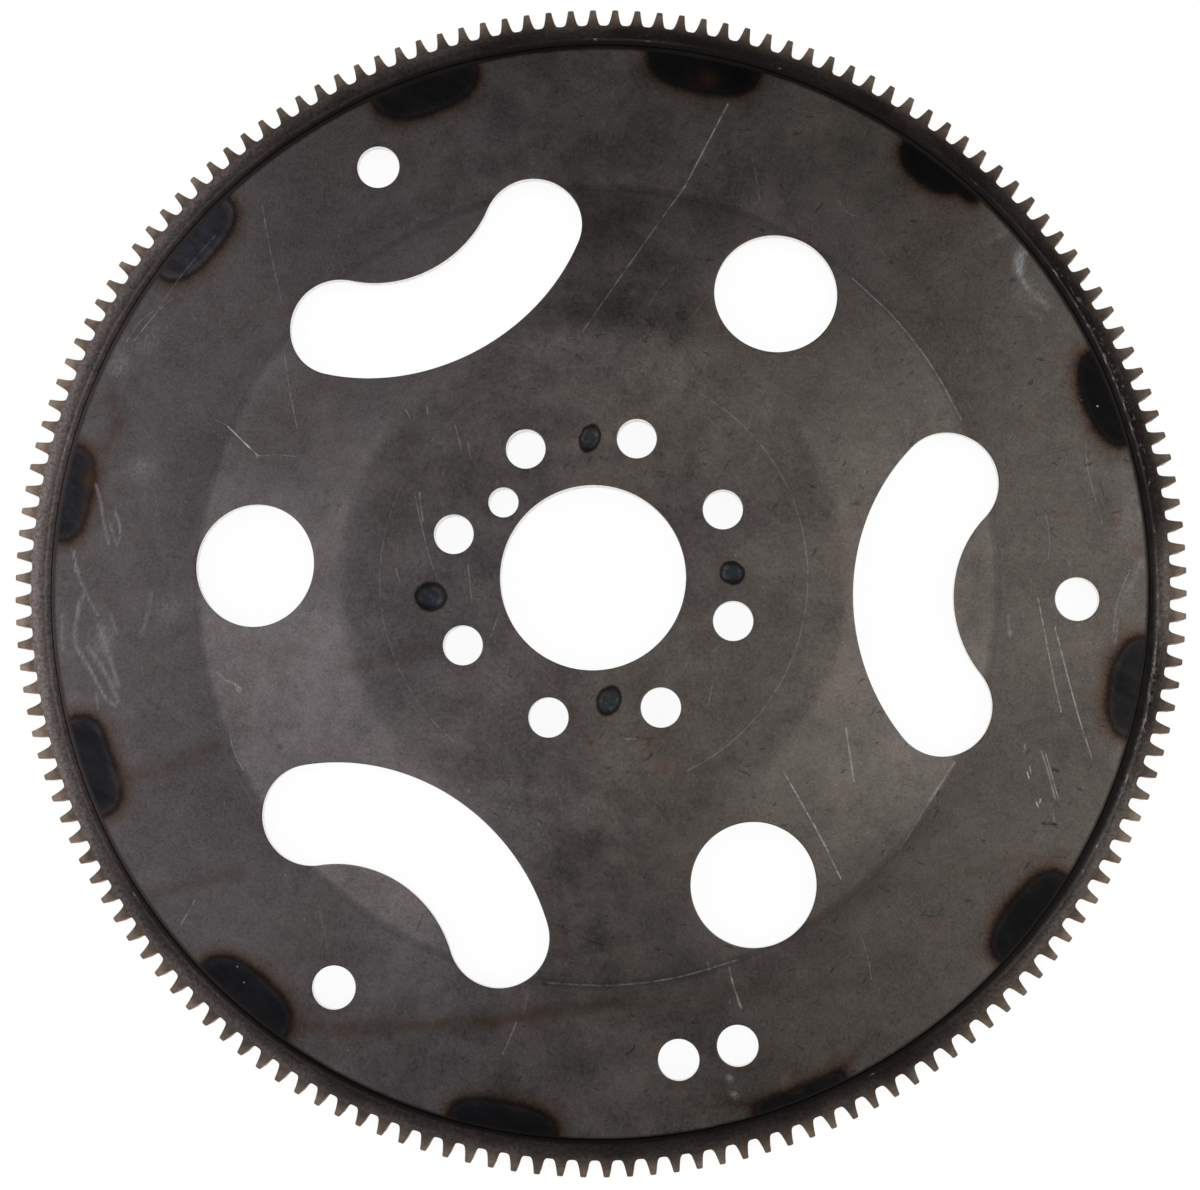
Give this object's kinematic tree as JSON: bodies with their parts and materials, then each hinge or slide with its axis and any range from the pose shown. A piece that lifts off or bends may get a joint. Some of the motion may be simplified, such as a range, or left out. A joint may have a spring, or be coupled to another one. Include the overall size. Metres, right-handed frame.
{
  "type": "flexplate",
  "caption": "Dished steel flexplate with a starter ring gear welded round its rim, crankshaft and converter bolt holes, kidney slots and round openings.",
  "frame": {"origin": "on the axis of the centre bore, in the plane of the ring gear's back face, on which the part rests", "axes": "+Z along the bore axis towards the side the hub is raised to; +X through the first converter bolt hole"},
  "size_m": [0.345, 0.345, 0.017],
  "materials": {
    "disc_steel": "dark rolled steel, satin, with heat marks and scratches",
    "reinforcement_steel": "dark rolled steel, satin",
    "ring_gear_steel": "dark hardened steel with an oily black surface",
    "weld_steel": "weld metal, rippled"
  },
  "bodies": {
    "root": {"disc": "disc_steel", "hub_reinforcement": "reinforcement_steel", "ring_gear": "ring_gear_steel", "ring_weld_01": "weld_steel", "ring_weld_02": "weld_steel", "ring_weld_03": "weld_steel", "ring_weld_04": "weld_steel", "ring_weld_05": "weld_steel", "ring_weld_06": "weld_steel", "ring_weld_07": "weld_steel", "ring_weld_08": "weld_steel", "ring_weld_09": "weld_steel", "ring_weld_10": "weld_steel", "ring_weld_11": "weld_steel", "ring_weld_12": "weld_steel"}
  },
  "joints": []
}
